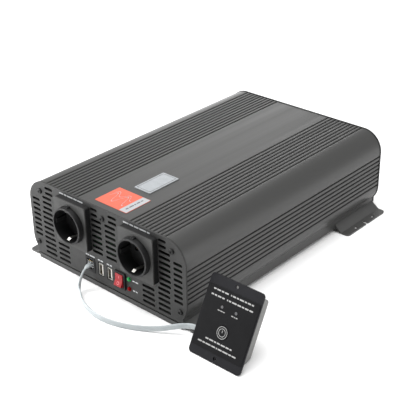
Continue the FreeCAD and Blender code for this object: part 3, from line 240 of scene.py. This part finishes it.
def coated_metal(name, base, worn, roughness, metallic, peel_mm, depth_mm, stretch=(1, 1, 1), edge_mm=0.35,
                 gloss=0.5):
    """Painted or anodised metal with a fine peel, drifting tone and rubbed edges."""
    surface = Surface(name, metallic=metallic, Specular_IOR_Level=gloss)
    tone = surface.colour(base, 0.07, 45, stretch)
    surface.wear(tone, [*worn, 1], 0.5, edge_mm * 1.5)
    surface.rough(roughness - 0.06, roughness + 0.08, 9, stretch)
    peel = surface.bump(peel_mm, depth_mm, stretch, surface.edges(edge_mm))
    return surface.finish(peel)


def plastic(name, base, roughness, grain_mm=0.35, depth_mm=0.02, spread=0.08, edge_mm=0.3, **sockets):
    """Moulded plastic with spark-eroded grain and faint flow marks."""
    surface = Surface(name, **sockets)
    surface.colour(base, spread, 14)
    surface.rough(roughness - 0.05, roughness + 0.08, 5)
    return surface.finish(surface.bump(grain_mm, depth_mm, under=surface.edges(edge_mm)))


def bare_metal(name, base, roughness, size_mm=3.0, stretch=(1, 1, 1), edge_mm=0.2, spread=0.08):
    """Plated or bare metal with fine drawn lines and small stains."""
    surface = Surface(name, metallic=1.0)
    surface.colour(base, spread, 8)
    surface.rough(roughness - 0.06, roughness + 0.12, size_mm, stretch)
    return surface.finish(surface.bump(0.25, 0.006, stretch, surface.edges(edge_mm)))


def glossy_plastic(name, base, roughness=0.18, spread=0.05, **sockets):
    surface = Surface(name, **sockets)
    surface.colour(base, spread, 6)
    surface.rough(roughness - 0.05, roughness + 0.08, 4)
    return surface.finish(surface.bump(2.5, 0.01, under=surface.edges(0.25)))


MATERIALS = {
    "case_metal": coated_metal("case_metal", (0.044, 0.044, 0.043), (0.14, 0.14, 0.135), 0.38, 0.1,
                               0.30, 0.006, ALONG_CASE, 0.30, 0.40),
    "panel_metal": coated_metal("panel_metal", (0.026, 0.026, 0.0255), (0.085, 0.085, 0.083), 0.46, 0.05,
                                0.45, 0.010, gloss=0.28),
    "foot_metal": coated_metal("foot_metal", (0.060, 0.060, 0.059), (0.17, 0.17, 0.165), 0.42, 0.15,
                               0.45, 0.010),
    "dark_screw": bare_metal("dark_screw", (0.035, 0.035, 0.035), 0.38),
    "plated_steel": bare_metal("plated_steel", (0.50, 0.49, 0.46), 0.34),
    "label_coral": plastic("label_coral", (0.54, 0.108, 0.066), 0.5, 0.6, 0.004, 0.03, 0.05,
                           Specular_IOR_Level=0.3),
    "label_white": plastic("label_white", (0.345, 0.355, 0.365), 0.5, 0.6, 0.004, 0.03, 0.05,
                           Specular_IOR_Level=0.3),
    "display_lens": glossy_plastic("display_lens", (0.295, 0.312, 0.325), 0.20, Specular_IOR_Level=0.4),
    "black_plastic": plastic("black_plastic", (0.0060, 0.0060, 0.0063), 0.50, Specular_IOR_Level=0.3),
    "grey_plastic": plastic("grey_plastic", (0.044, 0.044, 0.043), 0.50, Specular_IOR_Level=0.3),
    "red_plastic": glossy_plastic("red_plastic", (0.30, 0.018, 0.022), 0.32, Specular_IOR_Level=0.4),
    "green_lens": glossy_plastic("green_lens", (0.012, 0.28, 0.065), 0.22, Specular_IOR_Level=0.3),
    "red_lens": glossy_plastic("red_lens", (0.19, 0.0010, 0.002), 0.30, Specular_IOR_Level=0.05),
    "spring_bronze": bare_metal("spring_bronze", (0.70, 0.50, 0.26), 0.3),
    "circuit_board": plastic("circuit_board", (0.02, 0.13, 0.05), 0.35, 0.8, 0.03),
    "brass_plate": bare_metal("brass_plate", (0.72, 0.55, 0.27), 0.25),
    "ferrite": plastic("ferrite", (0.04, 0.04, 0.043), 0.6, 0.3, 0.03),
    "copper_wire": bare_metal("copper_wire", (0.62, 0.25, 0.11), 0.35),
    "capacitor_sleeve": glossy_plastic("capacitor_sleeve", (0.015, 0.02, 0.05), 0.3),
    "bare_aluminium": bare_metal("bare_aluminium", (0.72, 0.72, 0.74), 0.35, 2.0, ALONG_CASE),
    "remote_black": plastic("remote_black", (0.0095, 0.0095, 0.0115), 0.55, Specular_IOR_Level=0.15),
    "overlay_film": plastic("overlay_film", (0.0085, 0.0085, 0.0092), 0.5, 0.25, 0.006,
                            Specular_IOR_Level=0.08),
    "light_plastic": plastic("light_plastic", (0.165, 0.165, 0.16), 0.5),
    "cable_jacket": plastic("cable_jacket", (0.37, 0.40, 0.41), 0.42, 0.8, 0.02),
    "clear_plug": glossy_plastic("clear_plug", (0.80, 0.83, 0.84), 0.12, Transmission_Weight=0.95, IOR=1.45),
    "print_white": plastic("print_white", (0.34, 0.34, 0.335), 0.5, 0.3, 0.003, 0.04, 0.03),
    "print_grey": plastic("print_grey", (0.42, 0.43, 0.44), 0.5, 0.3, 0.003, 0.04, 0.03),
    "rocker_ink": plastic("rocker_ink", (0.62, 0.20, 0.21), 0.4, 0.3, 0.003, 0.04, 0.03),
    "lamp_grey": glossy_plastic("lamp_grey", (0.10, 0.10, 0.105), 0.3),
    "tongue_white": plastic("tongue_white", (0.60, 0.57, 0.53), 0.45, 0.3, 0.004),
    "gold_contact": bare_metal("gold_contact", (0.83, 0.60, 0.22), 0.22),
}
SLOT_MATERIAL = {"label_print": "label_coral"}


def dress_nodes():
    """Gives each CAD node the material of its slot, and smooth shading on its round faces."""
    slots = {part["node"]: part["material_slot"] for part in frame["record"]["subparts"]}
    slots["remote_lamps"] = "lamp_grey"
    for name, node in nodes.items():
        slot = slots[name]
        node.data.materials.clear()
        node.data.materials.append(MATERIALS[SLOT_MATERIAL.get(slot, slot)])
        node.data.shade_smooth()
        node.data.set_sharp_from_angle(angle=SHARP_ANGLE)
    paint_usb_tongues()
    # painted shade on the upper earth spring of each socket
    shade_upper_earth_clips()


def shade_upper_earth_clips():
    """Painted shade: the upper spring in each socket faces down, away from the light, and gets the dark
    screw metal; the lower one keeps its bright metal.
    """
    for side in ("left", "right"):
        mesh = nodes["socket_" + side + "_earth_clips"].data
        mesh.materials.append(MATERIALS["dark_screw"])
        for face in mesh.polygons:
            # painted shade: faces above the socket's middle take the dark metal
            if face.center.z > SOCKET_Z * MM:
                face.material_index = 1


def paint_usb_tongues():
    """Gives the contact tongue inside each USB shell its own moulded colour."""
    mesh = nodes["usb_ports"].data
    mesh.materials.append(MATERIALS["tongue_white"])
    for face in mesh.polygons:
        x, y, z = [c / MM for c in face.center]
        across = min(abs(x - port - TONGUE_SHIFT) for port in USB_X)
        in_depth = TONGUE_FRONT < y < TONGUE_BACK
        if across < TONGUE_REACH and abs(z - USB_Z) < TONGUE_HALF_HEIGHT and in_depth:
            face.material_index = 1


# ---------------------------------------------------------------- remote lead

LEAD_WIDTH = 6.4 * MM
LEAD_THICK = 2.3 * MM
LEAD_ROUTE = [
    (-24.2, -179.3, 25.6), (-24.2, -186.6, 25.6), (-25.6, -191.5, 18.5), (-26.5, -195.5, 9.0),
    (-23.5, -199.5, 3.6), (-13.5, -206.3, 3.3), (-2.0, -214.5, 3.3), (19.0, -222.0, 3.3),
    (41.0, -223.5, 3.3), (65.0, -217.5, 3.3), (87.0, -206.0, 3.6), (105.0, -194.9, 6.5),
    (119.5, -185.2, 11.6), (133.999, -180.234, 14.379), (145.998, -180.150, 14.379)]
DROP_WIDE = Vector((0.45, -0.89, 0))
DROP_TURN = (1 * MM, 9 * MM)
FLOOR_TURN = (20 * MM, 24 * MM)


def nurbs_line(name, points_mm):
    """The smooth line of a route: its points are the control points of one NURBS spline."""
    curve = bpy.data.curves.new(name, "CURVE")
    curve.dimensions = "3D"
    curve.resolution_u = 12
    spline = curve.splines.new("NURBS")
    spline.points.add(len(points_mm) - 1)
    for point, place in zip(spline.points, points_mm):
        point.co = [c * MM for c in place] + [1.0]
    spline.order_u = 3
    spline.use_endpoint_u = True
    carrier = bpy.data.objects.new(name, curve)
    line = bpy.data.meshes.new_from_object(carrier)
    path = [v.co.copy() for v in line.vertices]
    bpy.data.objects.remove(carrier)
    return path


def swept(name, path, section, width_directions, material):
    """A closed tube: the section (across, along-width pairs) carried along the path."""
    vertices = []
    count = len(section)
    for k, here in enumerate(path):
        tangent = (path[min(k + 1, len(path) - 1)] - path[max(k - 1, 0)]).normalized()
        wide = width_directions[k]
        wide = (wide - tangent * wide.dot(tangent)).normalized()
        thin = tangent.cross(wide)
        vertices += [here + wide * w + thin * t for w, t in section]
    faces = []
    for k in range(len(path) - 1):
        for j in range(count):
            a = k * count + j
            b = k * count + (j + 1) % count
            faces.append((a, b, b + count, a + count))
    last = (len(path) - 1) * count
    faces.append(tuple(reversed(range(count))))
    faces.append(tuple(range(last, last + count)))
    return add_mesh(name, vertices, faces, material)


def add_mesh(name, vertices, faces, material, body="root"):
    mesh = bpy.data.meshes.new(name)
    mesh.from_pydata([tuple(v) for v in vertices], [], faces)
    mesh.materials.append(MATERIALS[material])
    mesh.shade_smooth()
    mesh.set_sharp_from_angle(angle=math.radians(35))
    piece = bpy.data.objects.new(name, mesh)
    bpy.context.scene.collection.objects.link(piece)
    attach(piece, body)
    return piece


def turn_share(run, turn):
    """How much of a turn is done at this run of the lead; a turn is its start and its length."""
    start, length = turn
    share = min(1.0, max(0.0, (run - start) / length))
    return share * share * (3 - 2 * share)


def superellipse(half_width, half_thick, count=24, power=3.2):
    section = []
    for k in range(count):
        angle = 2 * math.pi * k / count
        c, s = math.cos(angle), math.sin(angle)
        section.append((half_width * math.copysign(abs(c) ** (2 / power), c),
                        half_thick * math.copysign(abs(s) ** (2 / power), s)))
    return section


def make_lead():
    """The flat lead: level at the port, turning edge-on as it drops, then standing on edge on the floor."""
    path = nurbs_line("lead_line", LEAD_ROUTE)
    directions = []
    run = 0.0
    for k, here in enumerate(path):
        if k:
            run += (here - path[k - 1]).length
        turned = X_AXIS.lerp(DROP_WIDE, turn_share(run, DROP_TURN))
        directions.append(turned.lerp(Z_AXIS, turn_share(run, FLOOR_TURN)))
    section = superellipse(LEAD_WIDTH / 2, LEAD_THICK / 2)
    lead = swept("remote_lead", path, section, directions, "cable_jacket")
    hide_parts("remote_cable")


# ---------------------------------------------------------------- printed marks and small parts

FRONT_Y = -179.5
TOP_Z = 104.0
LABEL_Z = 104.3
LENS_BOX = (-9.3, -120.8, 15.0, -74.0)
LENS_LIFT = 0.8
PRINT_LIFT = 0.04
PRINT_THICK = 0.08
REMOTE_CORNER = Vector((142.85, -201.9, 0.929))
REMOTE_YAW = math.radians(0.4)
REMOTE_LEAN = math.atan2(7.6, 14.5)
FILM_THICK = 0.4
KEY_CENTRE = (33.6, 32.4)
KEY_PROUD = 0.7
ROCKER_PIVOT = Vector((24.1, -178.0, 25.3))
ROCKER_TILT = math.radians(-12)
ROCKER_SLOPE = math.radians(12)
ROCKER_CROWN = 4.9


def on_front(a, b, lift):
    return Vector((a, FRONT_Y - lift, b))


def on_top(a, b, lift):
    return Vector((a, b, TOP_Z + lift))


def on_label(a, b, lift):
    return Vector((a, b, LABEL_Z + lift))


def on_remote(u, v, lift):
    """A point on the remote's face, lift in front of its printed film."""
    d = -FILM_THICK - lift
    y = d * math.cos(REMOTE_LEAN) + v * math.sin(REMOTE_LEAN)
    z = v * math.cos(REMOTE_LEAN) - d * math.sin(REMOTE_LEAN)
    return REMOTE_CORNER + Vector((u * math.cos(REMOTE_YAW) - y * math.sin(REMOTE_YAW),
                                   u * math.sin(REMOTE_YAW) + y * math.cos(REMOTE_YAW), z))


def on_key(u, v, lift):
    return on_remote(u, v, lift + KEY_PROUD)


def on_rocker(a, b, lift):
    """A point on one of the rocker's two faces: a across, b along the face from the middle."""
    y = -ROCKER_CROWN - abs(b) * math.sin(ROCKER_SLOPE) - lift * math.cos(ROCKER_SLOPE)
    z = b * math.cos(ROCKER_SLOPE) - math.copysign(lift * math.sin(ROCKER_SLOPE), b)
    return ROCKER_PIVOT + Vector((a, y * math.cos(ROCKER_TILT) - z * math.sin(ROCKER_TILT),
                                  y * math.sin(ROCKER_TILT) + z * math.cos(ROCKER_TILT)))


def bar_outline(a0, b0, a1, b1, radius, steps=4):
    """The rounded outline of one printed bar."""
    radius = min(radius, (a1 - a0) / 2, (b1 - b0) / 2)
    points = []
    for corner, (ca, cb) in enumerate(((a1 - radius, b1 - radius), (a0 + radius, b1 - radius),
                                       (a0 + radius, b0 + radius), (a1 - radius, b0 + radius))):
        for k in range(steps + 1):
            angle = math.pi / 2 * (corner + k / steps)
            points.append((ca + radius * math.cos(angle), cb + radius * math.sin(angle)))
    return points


def ring_outline(a, b, outer, inner, count=40):
    turns = [2 * math.pi * k / count for k in range(count)]
    return ([(a + outer * math.cos(t), b + outer * math.sin(t)) for t in turns],
            [(a + inner * math.cos(t), b + inner * math.sin(t)) for t in turns])


def print_piece(name, surface, outlines, material, rings=(), body="root"):
    """Ink laid on a surface: filled outlines and rings, each a thin closed slab."""
    vertices = []
    faces = []
    for outline in outlines:
        count = len(outline)
        base = len(vertices)
        for lift in (PRINT_LIFT, PRINT_LIFT + PRINT_THICK):
            vertices += [surface(a, b, lift) * MM for a, b in outline]
        faces.append(tuple(range(base, base + count)))
        faces.append(tuple(range(base + 2 * count - 1, base + count - 1, -1)))
        for k in range(count):
            n = (k + 1) % count
            faces.append((base + k, base + count + k, base + count + n, base + n))
    for outer, inner in rings:
        count = len(outer)
        base = len(vertices)
        for lift in (PRINT_LIFT, PRINT_LIFT + PRINT_THICK):
            vertices += [surface(a, b, lift) * MM for a, b in outer]
            vertices += [surface(a, b, lift) * MM for a, b in inner]
        loops = [base, base + count, base + 3 * count, base + 2 * count]
        for first, second in zip(loops, loops[1:] + loops[:1]):
            for k in range(count):
                n = (k + 1) % count
                faces.append((first + k, first + n, second + n, second + k))
    return add_mesh(name, vertices, faces, material, body)


def word_bars(a0, a1, b, height, pieces):
    """A row of short bars of uneven length, standing in for a line of printing."""
    gap = height * 0.7
    total = sum(pieces)
    room = a1 - a0 - gap * (len(pieces) - 1)
    bars = []
    here = a0
    for share in pieces:
        width = room * share / total
        bars.append(bar_outline(here, b - height / 2, here + width, b + height / 2, 0.3))
        here += width + gap
    return bars


def wave(a0, a1, b, swing, width, count=40):
    """A gently waving line of the given width."""
    upper = []
    lower = []
    for k in range(count + 1):
        share = k / count
        a = a0 + (a1 - a0) * share
        middle = b + swing * math.sin(3.6 * math.pi * share)
        upper.append((a, middle + width / 2))
        lower.append((a, middle - width / 2))
    return upper + list(reversed(lower))


def rows_of_bars(rows):
    """Rows of printing, each its start, end, height on the face, size and the shares of its words."""
    return [bar for row in rows for bar in word_bars(*row)]


FRONT_WORDS = [
    (-68, -30, 101.2, 1.7, (5, 3, 7, 4, 6)),
    (33, 72, 101.2, 1.7, (6, 4, 5, 7, 3)),
    (-31, -16.5, 37.3, 1.7, (6, 8)),
    (-11.3, -3.2, 37.0, 1.6, (4, 5)),
    (2.9, 10.8, 37.0, 1.6, (5, 4)),
    (42.5, 51, 31.3, 1.6, (4, 5)),
    (42.5, 49.5, 19.0, 1.6, (5, 4)),
]

REMOTE_WORDS = [
    (8, 27, 70.6, 1.5, (2, 3, 2, 3)),
    (30, 59, 70.6, 1.5, (1, 3, 2, 4, 2, 3, 2)),
    (7, 24, 64.6, 1.5, (2, 2, 3, 2)),
    (27, 60, 64.6, 1.5, (1, 2, 4, 3, 2, 3, 3)),
    (20, 29, 51.8, 0.9, (4, 5, 3)),
    (37.5, 45.5, 51.8, 0.9, (5, 3, 4)),
    (16, 50, 20.6, 1.4, (3, 4, 2, 3, 4, 3, 2)),
    (8, 57, 15.4, 1.4, (3, 2, 4, 3, 1, 3, 4, 2, 3)),
]


def make_front_marks():
    print_piece("front_marks", on_front, rows_of_bars(FRONT_WORDS), "print_grey")


def make_label_art():
    """The label's white strip, a swinging line on its coral field and small marks."""
    print_piece("label_strip", on_label, [bar_outline(15.5, -168.4, 26.6, -131.8, 0.8)], "label_white")
    swings = [wave(-17.0, 12.0, -151.0, 9.0, 1.0, 80), wave(-17.0, 12.0, -143.0, 4.5, 0.6, 80)]
    print_piece("label_waves", on_label, swings, "label_white")
    rows = [[(b, a) for a, b in outline] for outline in word_bars(-163, -137, 20.5, 2.0, (5, 8, 3, 6, 4))]

    def on_strip(a, b, lift):
        return on_label(a, b, lift + PRINT_THICK)
    print_piece("label_small_marks", on_strip, rows, "lamp_grey")


def inset_outline(box, inset, radius):
    x0, y0, x1, y1 = box
    return bar_outline(x0 + inset, y0 + inset, x1 - inset, y1 - inset, radius, 6)


def make_display_art():
    """The dark line round the display."""
    def on_lens(a, b, lift):
        return on_top(a, b, LENS_LIFT + lift)
    outer = inset_outline(LENS_BOX, 2.0, 0.8)
    inner = inset_outline(LENS_BOX, 2.7, 0.5)
    print_piece("display_frame", on_lens, [], "lamp_grey", [(outer, inner)])


def make_remote_marks():
    print_piece("remote_marks", on_remote, rows_of_bars(REMOTE_WORDS), "print_white")
    u, v = KEY_CENTRE
    line = bar_outline(u - 0.3, v - 0.2, u + 0.3, v + 2.4, 0.25)
    rings = [ring_outline(u, v, 6.4, 5.9), ring_outline(u, v, 4.3, 3.8)]
    print_piece("remote_key_mark", on_key, [line], "print_white", rings, "remote_key")


def make_rocker_marks():
    print_piece("rocker_marks", on_rocker, [bar_outline(-0.4, 2.2, 0.4, 5.2, 0.2)], "rocker_ink",
                [ring_outline(0, -3.6, 1.9, 1.35, 28)], "rocker")


def make_usb_contacts():
    """Four gilt contact strips on each USB tongue."""
    for side, x in zip(("left", "right"), USB_X):
        strips = [bar_outline(-177.4, USB_Z - 4.2 + 2.5 * k, -170.5, USB_Z - 3.2 + 2.5 * k, 0.2)
                  for k in range(4)]

        def on_tongue(a, b, lift, face=x + TONGUE_FACE):
            return Vector((face - lift, a, b))
        print_piece("usb_contacts_" + side, on_tongue, strips, "gold_contact")


def make_plug_contacts():
    """The comb of gilt contacts in the mouth of the inverter's remote port, above the clear plug."""
    def above_plug(a, b, lift):
        return Vector((a, b, COMB_Z + lift))
    strips = []
    for k in range(8):
        x = REMOTE_PORT_X + CONTACT_PITCH * (k - 3.5)
        strips.append(bar_outline(x - 0.25, -179.0, x + 0.25, -174.0, 0.1))
    print_piece("port_comb", above_plug, strips, "gold_contact")


make_camera()
make_studio()
dress_nodes()
make_lead()
make_front_marks()
make_label_art()
make_display_art()
make_remote_marks()
make_rocker_marks()
make_usb_contacts()
make_plug_contacts()
